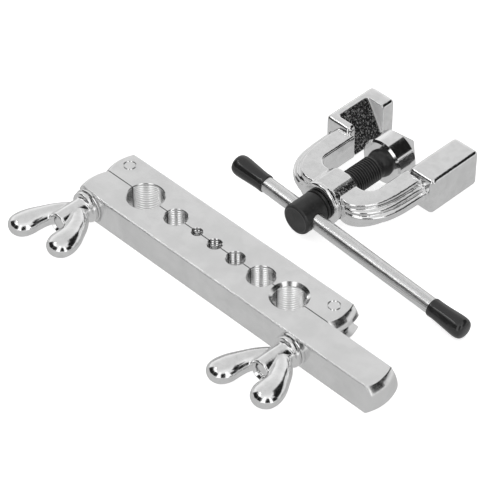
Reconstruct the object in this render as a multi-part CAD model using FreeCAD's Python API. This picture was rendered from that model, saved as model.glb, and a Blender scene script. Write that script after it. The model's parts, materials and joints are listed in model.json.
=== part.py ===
import FreeCAD, Part
import math
import os

# Plumber's flaring tool: a split die bar closed by two wing nuts, and beside it the hook yoke
# with its forcing screw, flaring cone and sliding handle bar.
# Millimetres. X runs along the die bar, Y points from the front bar to the rear bar and on to
# the yoke, Z is up. The origin is on the axis of the middle die hole, on the split plane, at
# the bench plane. The bar lies flat on the bench; the yoke beside it rests on its cone and on
# the long end of its handle.

V = FreeCAD.Vector
X_AXIS = V(1, 0, 0)
Y_AXIS = V(0, 1, 0)
Z_AXIS = V(0, 0, 1)

OVERCUT = 1.0              # how far a cutter reaches past the face it opens
TOLERANCE = 1e-4           # how closely edges are matched to a plane

# Die bar
BAR_SIZE = 15.0            # height and depth of each square bar
SPLIT_GAP = 0.4            # slit between the two bars
BAR_LEFT = -63.5           # corners of the bars, where their domed ends begin
REAR_BAR_RIGHT = 63.1
FRONT_BAR_RIGHT = 97.5     # the front bar is longer: it is also the grip
END_BULGE = 5.4            # how far each domed end stands out beyond its corners
END_EDGE_SAG = 1.9         # how far the dome's top and bottom edges bow out beyond the corners
BAR_ROUND = 0.8
BAR_MID_Z = BAR_SIZE / 2

# Die holes: x, tube diameter, chamfer at the upper mouth, serration depth
DIES = (
    (-40.9, 16.0, 0.30, 0.40),
    (-22.8, 10.0, 0.25, 0.35),
    (-10.3, 4.75, 0.20, 0.22),
    (0.0, 6.0, 0.35, 0.25),
    (12.0, 8.0, 0.25, 0.30),
    (26.6, 12.0, 0.25, 0.35),
    (42.5, 14.0, 1.35, 0.40),
)
SERRATION_PITCH = 1.0
SERRATION_LAND = 0.35      # flat crest left at the tube diameter between two grooves

# Ring grooves that stand for a thread: where in one pitch a groove starts, is deepest and ends
GROOVE_START = 0.12
GROOVE_BOTTOM = 0.5
GROOVE_END = 0.88

# Swing bolts and their pivot pins
LEFT_PIN_X = -59.9
RIGHT_PIN_X = 58.7
PIN_Y = 8.5
PIN_RADIUS = 2.6
PIN_BEVEL = 0.3
EYE_RADIUS = 6.2
EYE_HEIGHT = 6.0
EYE_BEVEL = 0.4
EYE_BORE_RADIUS = 2.65
EYE_SLOT_HEIGHT = 6.4
EYE_SLOT_RADIUS = 7.0
BOLT_RADIUS = 3.0
BOLT_SLOT_HALF = 3.3
BOLT_END_Y = -31.4
BOLT_THREAD_START_Y = -6.0
BOLT_PITCH = 1.0
BOLT_THREAD_DEPTH = 0.45
BOLT_POINT = 1.0           # length of the tapered point beyond the thread
NUT_SEAT_DEPTH = 0.6       # recess round the left bolt that the washer drops into
NUT_SEAT_RADIUS = 7.9

# Washers and wing nuts
WASHER_RADIUS = 7.4
WASHER_BORE_RADIUS = 3.2
WASHER_THICKNESS = 1.2
WASHER_BEVEL = 0.25
FACE_GAP = 0.05            # running gap between faces that turn on each other
NUT_BORE_RADIUS = 3.06
NUT_FLANGE_RADIUS = 7.0
NUT_FLANGE_THICKNESS = 2.0
NUT_FLANGE_CONE = 2.4
NUT_FLANGE_BEVEL = 0.4
NUT_HUB_RADIUS = 5.1
NUT_HUB_BEVEL = 0.5
NUT_LENGTH = 16.6
NUT_REST_DEG = 9.5         # the wings lie almost flat
# Wing sections: distance out from the bolt axis, distance from the seat, half width,
# half thickness, and the angle of the section's normal from straight ahead
WING_SECTIONS = (
    (1.6, 6.8, 3.7, 2.4, 62.0),
    (5.2, 9.6, 4.3, 2.6, 44.0),
    (8.7, 14.0, 4.7, 3.0, 27.0),
    (11.0, 19.0, 5.6, 3.4, 15.0),
    (12.0, 24.0, 6.7, 3.8, 6.0),
    (12.2, 27.8, 5.9, 3.5, 0.0),
    (12.2, 30.2, 3.9, 2.4, 0.0),
    (12.2, 31.2, 1.3, 0.9, 0.0),
)

# Locating dowel between the two largest neighbouring holes of the left half
DOWEL_X = -30.3
DOWEL_RADIUS = 1.25
DOWEL_FRONT_DEPTH = 6.0
DOWEL_REAR_LENGTH = 4.5
DOWEL_CLEARANCE = 0.05
DOWEL_END_ROOM = 0.5

# Yoke
YOKE_X = 9.7               # screw axis
SCREW_Z = 10.75
BLOCK_OUTER = 30.8         # half width over the two hook blocks
BLOCK_INNER = 17.1         # half of the opening that passes over the bars
BLOCK_FRONT_Y = 86.2
BLOCK_REAR_Y = 115.1
BLOCK_HEIGHT = 18.2
BLOCK_BOTTOM = SCREW_Z - BLOCK_HEIGHT / 2
BLOCK_TOP = SCREW_Z + BLOCK_HEIGHT / 2
BLOCK_ROUND = 2.0
CHANNEL_FRONT_Y = 90.1
CHANNEL_REAR_Y = 107.7
CHANNEL_BOTTOM_X = 26.8    # half width at the deep end of the hook channel
CHANNEL_SHALLOW = 1.2      # height over the block's bottom at which the slanted channel runs out
CHANNEL_CORNER = 1.2       # radius between the channel's floor and its walls
HUB_RADIUS = 9.7
HUB_FLAT = 8.7             # height of the hub's flats above and below the screw axis
HUB_FRONT_Y = 50.8
HUB_REAR_Y = 65.8
HUB_BEVEL = 0.8
HUB_RIM_RADIUS = 9.95      # round rim in front of the flats
HUB_RIM_LENGTH = 2.2
HUB_RIM_BEVEL = 0.7
HUB_RIM_GROOVE = 0.7       # width of the groove behind the rim
HUB_GROOVE_RADIUS = 9.2
HUB_BORE_RADIUS = 5.82
HUB_BORE_MOUTH = 0.8
HUB_BORE_REACH = 8.0       # how far the bore is cleared behind the hub
# Arm contours as (distance from the screw axis, y), from the hub round to the hook block
ARM_TOP_LINE = ((8.0, 54.8), (13.2, 54.6), (18.0, 58.0), (21.6, 64.6), (23.4, 73.8), (24.2, 87.8))
ARM_MID_LINE = ((8.0, 54.9), (13.4, 53.8), (19.2, 56.5), (23.2, 62.5), (25.4, 72.3), (26.4, 87.8))
ARM_RIM_LINE = ((8.4, 56.4), (13.8, 53.3), (20.0, 55.9), (24.7, 61.4), (27.5, 71.3), (28.4, 87.8))
ARM_TOP_HALF = 6.2         # half heights of the three steps of the arm section
ARM_MID_HALF = 3.7
ARM_RIM_HALF = 1.9
ARM_ROUND = 1.0
ARM_INNER = 14.9           # half width between the arms
ARM_INNER_Y = 65.2         # front of the opening between the arms
ARM_INNER_ROUND = 5.5

# Forcing screw
HEAD_FRONT_Y = 36.7
HEAD_REAR_Y = 48.9
HEAD_RADIUS = 7.0
HEAD_ROUND = 1.0
HEAD_ROUND_KNEE = 0.3      # middle point of the rounded edge, from either face
HEAD_REAR_BEVEL = 0.3
HEAD_NECK_RADIUS = 6.4
COLLAR_FRONT_Y = 49.3
COLLAR_REAR_Y = 50.6
COLLAR_RADIUS = 7.2
COLLAR_BEVEL = 0.3
SCREW_RADIUS = 5.75
SCREW_ROOT_RADIUS = 5.05
SCREW_PITCH = 1.27         # twenty turns to the inch
SCREW_THREAD_END_Y = 82.9
SCREW_NECK_RADIUS = 5.4
SCREW_NECK_BEVEL = 0.3
CROSS_HOLE_RADIUS = 3.72
HANDLE_Y = 42.9
SCREW_REST_DEG = 4.05      # turn of the screw that lets the long end of the handle touch down

# Flaring cone
CONE_FRONT_Y = 88.0
CONE_RADIUS = 10.7
CONE_CYLINDER = 10.0
CONE_TIP_RADIUS = 0.7
CONE_TIP_ROUND = 0.3       # how far the blunted point stands out
CONE_BEVEL = 0.9

# Bearing inside the cone: the screw's ball end and spigot, retaining ring and thrust ball
BALL_CENTRE_Y = CONE_FRONT_Y + 0.1
BALL_RADIUS = 6.25
BALL_END_Y = BALL_CENTRE_Y + 1.2
BALL_STEPS = 10
CUP_RADIUS = 6.33
CUP_END_Y = BALL_CENTRE_Y + 1.3
SPIGOT_RADIUS = 3.6
SPIGOT_BEVEL = 0.4
SPIGOT_GROOVE_Y = CONE_FRONT_Y + 3.4
SPIGOT_GROOVE_RADIUS = 2.9
SPIGOT_GROOVE_HALF = 0.45
SPIGOT_END_Y = CONE_FRONT_Y + 6.2
SOCKET_RADIUS = 3.66
SOCKET_GROOVE_RADIUS = 3.96
SOCKET_GROOVE_HALF = 0.41
SOCKET_END_Y = SPIGOT_END_Y + 0.15
RING_WIRE = 0.8
RING_CENTRE_RADIUS = 3.55
RING_GAP_HALF = 0.6
THRUST_BALL_RADIUS = 2.4
THRUST_BALL_Y = SPIGOT_END_Y + FACE_GAP + THRUST_BALL_RADIUS
THRUST_POCKET_RADIUS = 2.46

# Handle bar and its end caps
HANDLE_RADIUS = 3.57
HANDLE_LEFT = -39.4        # ends of the bare rod from the screw axis
HANDLE_RIGHT = 87.3
HANDLE_BEVEL = 0.5
CAP_LENGTH = 18.3
CAP_WALL_END = 1.6
CAP_MOUTH_RADIUS = 3.95
CAP_WAIST_RADIUS = 4.1
CAP_BULGE_RADIUS = 4.65
CAP_END_ROUND = 2.4
CAP_ROUND_STEPS = 4
# Where along the cap its bulge ends, its waist is and its plain mouth begins
CAP_BULGE_AT = 0.34
CAP_WAIST_AT = 0.70
CAP_MOUTH_AT = 0.86


def revolve(points, base, direction):
    """Solid of revolution of (radius, distance along the axis) points about an axis."""
    axis = V(direction).normalize()
    side = X_AXIS if abs(axis.dot(X_AXIS)) < 0.9 else Z_AXIS
    side = (side - axis * side.dot(axis)).normalize()
    vertices = [base + side * r + axis * h for r, h in points]
    face = Part.Face(Part.makePolygon(vertices + vertices[:1]))
    return face.revolve(base, axis, 360)


def cylinder(radius, start, end):
    """Cylinder between two points."""
    return Part.makeCylinder(radius, (end - start).Length, start, end - start)


def block(x0, x1, y0, y1, z0, z1):
    """Box between two corners."""
    return Part.makeBox(x1 - x0, y1 - y0, z1 - z0, V(x0, y0, z0))


def threaded_profile(core, crest, start, end, pitch):
    """(radius, distance) outline of a rod whose ring grooves stand for its thread."""
    points = [(crest, start)]
    count = int((end - start) / pitch)
    for turn in range(count):
        base = start + turn * pitch
        points.append((crest, base + pitch * GROOVE_START))
        points.append((core, base + pitch * GROOVE_BOTTOM))
        points.append((crest, base + pitch * GROOVE_END))
    points.append((crest, end))
    return points


# ---------------------------------------------------------------- die bars

def end_barrel(corner_x, inward, middle_y):
    """Barrel about an upright axis whose side is the domed end beyond a pair of corners."""
    half_depth = (BAR_SIZE - SPLIT_GAP / 2) / 2
    edge_radius = (END_EDGE_SAG ** 2 + half_depth ** 2) / (2 * END_EDGE_SAG)
    mid_radius = edge_radius + END_BULGE - END_EDGE_SAG
    axis_x = corner_x + inward * (edge_radius - END_EDGE_SAG)
    base = V(axis_x, middle_y, 0)
    bottom = base + X_AXIS * edge_radius
    top = bottom + Z_AXIS * BAR_SIZE
    middle = base + X_AXIS * mid_radius + Z_AXIS * BAR_MID_Z
    side = Part.Arc(bottom, middle, top).toShape()
    above = base + Z_AXIS * BAR_SIZE
    profile = Part.Wire([Part.makeLine(base, bottom), side, Part.makeLine(top, above),
                         Part.makeLine(above, base)])
    return Part.Face(profile).revolve(base, Z_AXIS, 360), axis_x


def square_bar(right, y0, y1, split_y):
    """Square bar with domed ends, rounded on every edge except the ones along the split."""
    left_end, left_x = end_barrel(BAR_LEFT, 1, (y0 + y1) / 2)
    right_end, right_x = end_barrel(right, -1, (y0 + y1) / 2)
    middle = block(left_x, right_x, y0, y1, 0, BAR_SIZE)
    raw = block(BAR_LEFT - 2 * END_BULGE, right + 2 * END_BULGE, y0, y1, 0, BAR_SIZE)
    bar = middle.fuse([raw.common(left_end), raw.common(right_end)]).removeSplitter()
    edges = [edge for edge in bar.Edges if abs(edge.CenterOfMass.y - split_y) > TOLERANCE]
    return bar.makeFillet(BAR_ROUND, edges)


def die_cutter(x, diameter, mouth, serration):
    """Everything one die hole removes: bore, ring serrations and the chamfered upper mouth."""
    radius = diameter / 2
    points = [(0, -OVERCUT), (radius, -OVERCUT)]
    z = SERRATION_LAND
    groove = SERRATION_PITCH - SERRATION_LAND
    while z + groove < BAR_SIZE - mouth - SERRATION_LAND:
        points += [(radius, z), (radius + serration, z + groove / 2), (radius, z + groove)]
        z += SERRATION_PITCH
    top = BAR_SIZE
    points += [(radius, top - mouth), (radius + mouth + OVERCUT, top + OVERCUT), (0, top + OVERCUT)]
    return revolve(points, V(x, 0, 0), Z_AXIS)


def eye_slot(pin_x, outward):
    """Slot for a swing bolt's eye, open at the bar's end and all the way through its depth."""
    z0 = BAR_MID_Z - EYE_SLOT_HEIGHT / 2
    z1 = BAR_MID_Z + EYE_SLOT_HEIGHT / 2
    inner = pin_x - outward * BOLT_SLOT_HALF
    outer = pin_x + outward * BAR_SIZE
    channel = block(min(inner, outer), max(inner, outer), -OVERCUT, BAR_SIZE + OVERCUT, z0, z1)
    round_end = cylinder(EYE_SLOT_RADIUS, V(pin_x, PIN_Y, z0), V(pin_x, PIN_Y, z1))
    return channel.fuse(round_end)


def make_rear_bar(dies):
    """Short bar: half of every die hole, eye slots and pin holes at both ends, dowel hole."""
    bar = square_bar(REAR_BAR_RIGHT, SPLIT_GAP / 2, BAR_SIZE, SPLIT_GAP / 2)
    cutters = list(dies)
    for pin_x, outward in ((LEFT_PIN_X, -1), (RIGHT_PIN_X, 1)):
        cutters.append(eye_slot(pin_x, outward))
        mouth = PIN_RADIUS + PIN_BEVEL + OVERCUT
        hole = [(0, -OVERCUT), (mouth, -OVERCUT), (PIN_RADIUS, PIN_BEVEL),
                (PIN_RADIUS, BAR_SIZE - PIN_BEVEL), (mouth, BAR_SIZE + OVERCUT),
                (0, BAR_SIZE + OVERCUT)]
        cutters.append(revolve(hole, V(pin_x, PIN_Y, 0), Z_AXIS))
    reach = SPLIT_GAP / 2 + DOWEL_REAR_LENGTH + DOWEL_END_ROOM
    cutters.append(cylinder(DOWEL_RADIUS + DOWEL_CLEARANCE, V(DOWEL_X, 0, BAR_MID_Z),
                            V(DOWEL_X, reach, BAR_MID_Z)))
    return bar.cut(cutters)


def make_front_bar(dies):
    """Long bar: half of every die hole, open slot on the left, closed bolt hole on the right."""
    bar = square_bar(FRONT_BAR_RIGHT, -BAR_SIZE, -SPLIT_GAP / 2, -SPLIT_GAP / 2)
    z0 = BAR_MID_Z - BOLT_SLOT_HALF
    z1 = BAR_MID_Z + BOLT_SLOT_HALF
    before = -BAR_SIZE - OVERCUT
    swing_slot = block(BAR_LEFT - 2 * END_BULGE, LEFT_PIN_X, before, OVERCUT, z0, z1)
    swing_slot = swing_slot.fuse(cylinder(BOLT_SLOT_HALF, V(LEFT_PIN_X, before, BAR_MID_Z),
                                          V(LEFT_PIN_X, OVERCUT, BAR_MID_Z)))
    eye_relief = cylinder(EYE_SLOT_RADIUS, V(LEFT_PIN_X, PIN_Y, z0), V(LEFT_PIN_X, PIN_Y, z1))
    bolt_hole = cylinder(BOLT_SLOT_HALF, V(RIGHT_PIN_X, before, BAR_MID_Z),
                         V(RIGHT_PIN_X, OVERCUT, BAR_MID_Z))
    seat_y = -BAR_SIZE + NUT_SEAT_DEPTH
    seat = cylinder(NUT_SEAT_RADIUS, V(LEFT_PIN_X, before, BAR_MID_Z), V(LEFT_PIN_X, seat_y, BAR_MID_Z))
    dowel_hole = cylinder(DOWEL_RADIUS, V(DOWEL_X, -SPLIT_GAP / 2 - DOWEL_FRONT_DEPTH, BAR_MID_Z),
                          V(DOWEL_X, OVERCUT, BAR_MID_Z))
    bar = bar.cut(list(dies) + [swing_slot, eye_relief, bolt_hole, seat, dowel_hole])
    return bar.cut(swing_clearance(seat_y))


def swing_clearance(seat_y):
    """What the washer would hit as the left bolt swings out round its pin."""
    z0 = -OVERCUT
    z1 = BAR_SIZE + OVERCUT
    outside = block(BAR_LEFT - 2 * END_BULGE, LEFT_PIN_X, -BAR_SIZE - OVERCUT, 0, z0, z1)
    keep = cylinder(PIN_Y - seat_y, V(LEFT_PIN_X, PIN_Y, z0 - OVERCUT),
                    V(LEFT_PIN_X, PIN_Y, z1 + OVERCUT))
    return outside.cut(keep)


def make_pin(pin_x):
    """Pin a swing bolt hangs on, flush with the rear bar."""
    points = [(0, 0), (PIN_RADIUS - PIN_BEVEL, 0), (PIN_RADIUS, PIN_BEVEL),
              (PIN_RADIUS, BAR_SIZE - PIN_BEVEL), (PIN_RADIUS - PIN_BEVEL, BAR_SIZE), (0, BAR_SIZE)]
    return revolve(points, V(pin_x, PIN_Y, 0), Z_AXIS)


def make_dowel():
    """Dowel pressed into the front bar that keeps the die halves in line."""
    front = -SPLIT_GAP / 2 - DOWEL_FRONT_DEPTH
    return cylinder(DOWEL_RADIUS, V(DOWEL_X, front, BAR_MID_Z),
                    V(DOWEL_X, SPLIT_GAP / 2 + DOWEL_REAR_LENGTH, BAR_MID_Z))


# ---------------------------------------------------------------- swing bolts, washers, wing nuts

def make_swing_bolt(pin_x):
    """Eye bolt from its pivot pin forward through the front bar."""
    base = V(pin_x, PIN_Y, BAR_MID_Z)
    length = PIN_Y - BOLT_END_Y
    thread = PIN_Y - BOLT_THREAD_START_Y
    crest = BOLT_RADIUS
    points = [(0, 0), (crest, 0)]
    points += threaded_profile(crest - BOLT_THREAD_DEPTH, crest, thread, length - BOLT_POINT,
                               BOLT_PITCH)
    points += [(crest - BOLT_THREAD_DEPTH, length), (0, length)]
    shank = revolve(points, base, V(0, -1, 0))
    half = V(0, 0, EYE_HEIGHT / 2)
    eye = cylinder(EYE_RADIUS, base - half, base + half)
    eye = eye.makeChamfer(EYE_BEVEL, [edge for edge in eye.Edges if len(edge.Vertexes) == 1])
    bore = cylinder(EYE_BORE_RADIUS, base - half * 2, base + half * 2)
    return shank.fuse(eye).cut(bore)


def seat_y_of(pin_x):
    """Face the washer bears on."""
    depth = NUT_SEAT_DEPTH if pin_x == LEFT_PIN_X else 0
    return -BAR_SIZE + depth - FACE_GAP


def make_washer(pin_x):
    """Plain washer, bevelled on the side that faces the nut."""
    base = V(pin_x, seat_y_of(pin_x), BAR_MID_Z)
    bevel = WASHER_BEVEL
    points = [(WASHER_BORE_RADIUS, 0), (WASHER_RADIUS, 0), (WASHER_RADIUS, WASHER_THICKNESS - bevel),
              (WASHER_RADIUS - bevel, WASHER_THICKNESS), (WASHER_BORE_RADIUS, WASHER_THICKNESS)]
    return revolve(points, base, V(0, -1, 0))


def wing_section(base, side, out, ahead, half_width, half_thickness, lean_deg):
    """Ellipse across a wing; side is +1 or -1, ahead is measured away from the bar."""
    lean = math.radians(lean_deg)
    normal = V(side * math.sin(lean), -math.cos(lean), 0)
    across = V(side * math.cos(lean), math.sin(lean), 0)
    centre = base + V(side * out, -ahead, 0)
    if half_width > half_thickness:
        ellipse = Part.Ellipse(centre + across * half_width, centre + V(0, 0, half_thickness), centre)
    else:
        ellipse = Part.Circle(centre, normal, half_width)
    return Part.Wire([ellipse.toShape()])


def make_wing_nut(pin_x):
    """Wing nut: flange, hub, two lofted wings and a running bore opened at both ends."""
    base = V(pin_x, seat_y_of(pin_x) - WASHER_THICKNESS - FACE_GAP, BAR_MID_Z)
    flange = NUT_FLANGE_THICKNESS
    rim = NUT_FLANGE_RADIUS - NUT_FLANGE_BEVEL
    body = [(0, 0), (rim, 0), (NUT_FLANGE_RADIUS, NUT_FLANGE_BEVEL),
            (NUT_FLANGE_RADIUS, flange - NUT_FLANGE_BEVEL), (rim, flange),
            (NUT_HUB_RADIUS + NUT_HUB_BEVEL, flange + NUT_HUB_BEVEL),
            (NUT_HUB_RADIUS, flange + NUT_FLANGE_CONE), (NUT_HUB_RADIUS, NUT_LENGTH - NUT_HUB_BEVEL),
            (NUT_HUB_RADIUS - NUT_HUB_BEVEL, NUT_LENGTH), (0, NUT_LENGTH)]
    nut = revolve(body, base, V(0, -1, 0))
    for side in (-1, 1):
        sections = [wing_section(base, side, *numbers) for numbers in WING_SECTIONS]
        nut = nut.fuse(Part.makeLoft(sections, True, False))
    mouth = NUT_BORE_RADIUS + NUT_HUB_BEVEL + OVERCUT
    bore = [(0, -OVERCUT), (mouth, -OVERCUT), (NUT_BORE_RADIUS, NUT_HUB_BEVEL),
            (NUT_BORE_RADIUS, NUT_LENGTH - NUT_HUB_BEVEL), (mouth, NUT_LENGTH + OVERCUT),
            (0, NUT_LENGTH + OVERCUT)]
    nut = nut.cut(revolve(bore, base, V(0, -1, 0)))
    nut.rotate(base, Y_AXIS, -NUT_REST_DEG)
    return nut


# ---------------------------------------------------------------- yoke

def arm_outline(line):
    """Closed plan of both arms bounded outside by the given half contour."""
    right = [V(YOKE_X + x, y, 0) for x, y in line]
    left = [V(YOKE_X - x, y, 0) for x, y in line]
    outer_right = Part.BSplineCurve()
    outer_right.interpolate(right)
    outer_left = Part.BSplineCurve()
    outer_left.interpolate(left)
    edges = [
        Part.makeLine(left[0], right[0]),
        outer_right.toShape(),
        Part.makeLine(right[-1], left[-1]),
        outer_left.toShape(),
    ]
    return Part.Wire(Part.__sortEdges__(edges))


def arm_layer(line, half_height):
    """One step of the arm section, between its outer contours."""
    face = Part.Face(arm_outline(line))
    face.translate(V(0, 0, SCREW_Z - half_height))
    return face.extrude(V(0, 0, 2 * half_height))


def arm_opening():
    """The U between the arms, from its rounded front to past the hook blocks."""
    x0 = YOKE_X - ARM_INNER
    x1 = YOKE_X + ARM_INNER
    slot = block(x0, x1, ARM_INNER_Y, BLOCK_REAR_Y + OVERCUT, BLOCK_BOTTOM - OVERCUT,
                 BLOCK_TOP + OVERCUT)
    corners = []
    for edge in slot.Edges:
        vertical = abs(edge.tangentAt(edge.FirstParameter).z) > 0.9
        if vertical and abs(edge.CenterOfMass.y - ARM_INNER_Y) < TOLERANCE:
            corners.append(edge)
    return slot.makeFillet(ARM_INNER_ROUND, corners)


def flat_rim_edges(solid, half_height):
    """Edges lying in a layer's top or bottom plane."""
    edges = []
    for edge in solid.Edges:
        z = edge.CenterOfMass.z - SCREW_Z
        if abs(abs(z) - half_height) < TOLERANCE and edge.BoundBox.ZLength < TOLERANCE:
            edges.append(edge)
    return edges


def make_arms():
    """Both arms: three stacked layers that step outwards towards mid height."""
    opening = arm_opening()
    layers = []
    for line, half_height in ((ARM_TOP_LINE, ARM_TOP_HALF), (ARM_MID_LINE, ARM_MID_HALF),
                              (ARM_RIM_LINE, ARM_RIM_HALF)):
        layer = arm_layer(line, half_height).cut(opening)
        layer = layer.makeFillet(ARM_ROUND, flat_rim_edges(layer, half_height))
        layers.append(layer)
    return layers[0].fuse(layers[1:])


def make_hub():
    """Hub with flats above and below, and a round rim and groove at its front."""
    length = HUB_REAR_Y - HUB_FRONT_Y
    base = V(YOKE_X, HUB_FRONT_Y, SCREW_Z)
    groove_end = HUB_RIM_LENGTH + HUB_RIM_GROOVE
    body = [(0, HUB_RIM_LENGTH), (HUB_GROOVE_RADIUS, HUB_RIM_LENGTH), (HUB_GROOVE_RADIUS, groove_end),
            (HUB_RADIUS, groove_end), (HUB_RADIUS, length - HUB_BEVEL), (HUB_RADIUS - HUB_BEVEL, length),
            (0, length)]
    flats = block(YOKE_X - BLOCK_OUTER, YOKE_X + BLOCK_OUTER, HUB_FRONT_Y - OVERCUT,
                  HUB_REAR_Y + OVERCUT, SCREW_Z - HUB_FLAT, SCREW_Z + HUB_FLAT)
    rim = [(0, 0), (HUB_RIM_RADIUS - HUB_RIM_BEVEL, 0), (HUB_RIM_RADIUS, HUB_RIM_BEVEL),
           (HUB_RIM_RADIUS, HUB_RIM_LENGTH), (0, HUB_RIM_LENGTH)]
    return revolve(body, base, Y_AXIS).common(flats).fuse(revolve(rim, base, Y_AXIS))


def hook_channel():
    """Cutter for the left hook's slanted channel, deep at the top."""
    mouth = YOKE_X - BLOCK_INNER + OVERCUT
    shallow_z = BLOCK_BOTTOM + CHANNEL_SHALLOW
    slope = (CHANNEL_BOTTOM_X - BLOCK_INNER) / (BLOCK_TOP - shallow_z)
    over_z = BLOCK_TOP + OVERCUT
    corner_x = YOKE_X - CHANNEL_BOTTOM_X - slope * OVERCUT
    low_z = shallow_z - OVERCUT / slope
    corners = [V(mouth, CHANNEL_FRONT_Y, over_z), V(corner_x, CHANNEL_FRONT_Y, over_z),
               V(mouth, CHANNEL_FRONT_Y, low_z)]
    wedge = Part.Face(Part.makePolygon(corners + corners[:1]))
    channel = wedge.extrude(V(0, CHANNEL_REAR_Y - CHANNEL_FRONT_Y, 0))
    floor_edges = []
    for edge in channel.Edges:
        direction = edge.tangentAt(edge.FirstParameter)
        if abs(direction.x) > 0.1 and abs(direction.z) > 0.1:
            floor_edges.append(edge)
    return channel.makeFillet(CHANNEL_CORNER, floor_edges)


def hook_block():
    """The hook on the left with its channel."""
    x0 = YOKE_X - BLOCK_OUTER
    x1 = YOKE_X - BLOCK_INNER
    body = block(x0, x1, BLOCK_FRONT_Y, BLOCK_REAR_Y, BLOCK_BOTTOM, BLOCK_TOP)
    body = body.makeFillet(BLOCK_ROUND, body.Edges)
    return body.cut(hook_channel())


def make_yoke():
    """The whole yoke: arms, hub, two hooks turned half round from each other, and the bore."""
    hook = hook_block()
    other = hook.copy()
    other.rotate(V(YOKE_X, 0, SCREW_Z), Y_AXIS, 180)
    yoke = make_arms().fuse([make_hub(), hook, other])
    length = HUB_REAR_Y - HUB_FRONT_Y
    mouth = HUB_BORE_RADIUS + HUB_BORE_MOUTH
    bore = [(0, -OVERCUT), (mouth, -OVERCUT), (mouth, 0), (HUB_BORE_RADIUS, HUB_BORE_MOUTH),
            (HUB_BORE_RADIUS, length - HUB_BORE_MOUTH), (mouth, length),
            (mouth, length + HUB_BORE_REACH), (0, length + HUB_BORE_REACH)]
    return yoke.cut(revolve(bore, V(YOKE_X, HUB_FRONT_Y, SCREW_Z), Y_AXIS)).removeSplitter()


# ---------------------------------------------------------------- screw, cone and handle

def screw_point(y):
    """Point on the screw's axis."""
    return V(YOKE_X, y, SCREW_Z)


def ball_arc(start_y, end_y):
    """(radius, y) points along the ball end of the screw."""
    points = []
    for step in range(BALL_STEPS + 1):
        y = start_y + (end_y - start_y) * step / BALL_STEPS
        points.append((math.sqrt(BALL_RADIUS ** 2 - (y - BALL_CENTRE_Y) ** 2), y))
    return points


def make_forcing_screw():
    """Head with its cross hole, collar, thread, neck, ball end and grooved spigot."""
    neck_end = BALL_CENTRE_Y - math.sqrt(BALL_RADIUS ** 2 - SCREW_NECK_RADIUS ** 2)
    edge = HEAD_ROUND_KNEE
    outline = [(0, HEAD_FRONT_Y), (HEAD_RADIUS - HEAD_ROUND, HEAD_FRONT_Y),
               (HEAD_RADIUS - edge, HEAD_FRONT_Y + edge), (HEAD_RADIUS, HEAD_FRONT_Y + HEAD_ROUND),
               (HEAD_RADIUS, HEAD_REAR_Y - HEAD_REAR_BEVEL),
               (HEAD_NECK_RADIUS, HEAD_REAR_Y), (HEAD_NECK_RADIUS, COLLAR_FRONT_Y),
               (COLLAR_RADIUS - COLLAR_BEVEL, COLLAR_FRONT_Y),
               (COLLAR_RADIUS, COLLAR_FRONT_Y + COLLAR_BEVEL),
               (COLLAR_RADIUS, COLLAR_REAR_Y - COLLAR_BEVEL),
               (COLLAR_RADIUS - COLLAR_BEVEL, COLLAR_REAR_Y)]
    outline += threaded_profile(SCREW_ROOT_RADIUS, SCREW_RADIUS, COLLAR_REAR_Y,
                                SCREW_THREAD_END_Y, SCREW_PITCH)
    outline.append((SCREW_NECK_RADIUS, SCREW_THREAD_END_Y + SCREW_NECK_BEVEL))
    outline += ball_arc(neck_end, BALL_END_Y)
    outline += [(SPIGOT_RADIUS, BALL_END_Y), (SPIGOT_RADIUS, SPIGOT_GROOVE_Y - SPIGOT_GROOVE_HALF),
                (SPIGOT_GROOVE_RADIUS, SPIGOT_GROOVE_Y - SPIGOT_GROOVE_HALF),
                (SPIGOT_GROOVE_RADIUS, SPIGOT_GROOVE_Y + SPIGOT_GROOVE_HALF),
                (SPIGOT_RADIUS, SPIGOT_GROOVE_Y + SPIGOT_GROOVE_HALF),
                (SPIGOT_RADIUS, SPIGOT_END_Y - SPIGOT_BEVEL),
                (SPIGOT_RADIUS - SPIGOT_BEVEL, SPIGOT_END_Y), (0, SPIGOT_END_Y)]
    return revolve(outline, screw_point(0), Y_AXIS).cut(cross_hole())


def cross_hole():
    """Cutter for the hole through the screw head that the handle slides in."""
    reach = X_AXIS * (HEAD_RADIUS + OVERCUT)
    middle = screw_point(HANDLE_Y)
    return cylinder(CROSS_HOLE_RADIUS, middle - reach, middle + reach)


def make_flaring_cone():
    """Cone with a right-angled point, and the cup, socket and ball pocket it turns on."""
    front = CONE_FRONT_Y
    rear = front + CONE_CYLINDER
    tip = rear + CONE_RADIUS - CONE_TIP_RADIUS
    outline = [(0, front), (CONE_RADIUS - CONE_BEVEL, front), (CONE_RADIUS, front + CONE_BEVEL),
               (CONE_RADIUS, rear), (CONE_TIP_RADIUS, tip), (0, tip + CONE_TIP_ROUND)]
    cone = revolve(outline, screw_point(0), Y_AXIS)
    cup = Part.makeSphere(CUP_RADIUS, screw_point(BALL_CENTRE_Y))
    cup = cup.common(cylinder(CONE_RADIUS, screw_point(front - CONE_RADIUS), screw_point(CUP_END_Y)))
    socket = [(0, front), (SOCKET_RADIUS, front), (SOCKET_RADIUS, SPIGOT_GROOVE_Y - SOCKET_GROOVE_HALF),
              (SOCKET_GROOVE_RADIUS, SPIGOT_GROOVE_Y - SOCKET_GROOVE_HALF),
              (SOCKET_GROOVE_RADIUS, SPIGOT_GROOVE_Y + SOCKET_GROOVE_HALF),
              (SOCKET_RADIUS, SPIGOT_GROOVE_Y + SOCKET_GROOVE_HALF), (SOCKET_RADIUS, SOCKET_END_Y),
              (0, SOCKET_END_Y)]
    bore = revolve(socket, screw_point(0), Y_AXIS)
    pocket = Part.makeSphere(THRUST_POCKET_RADIUS, screw_point(THRUST_BALL_Y))
    return cone.cut([cup, bore, pocket])


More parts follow.
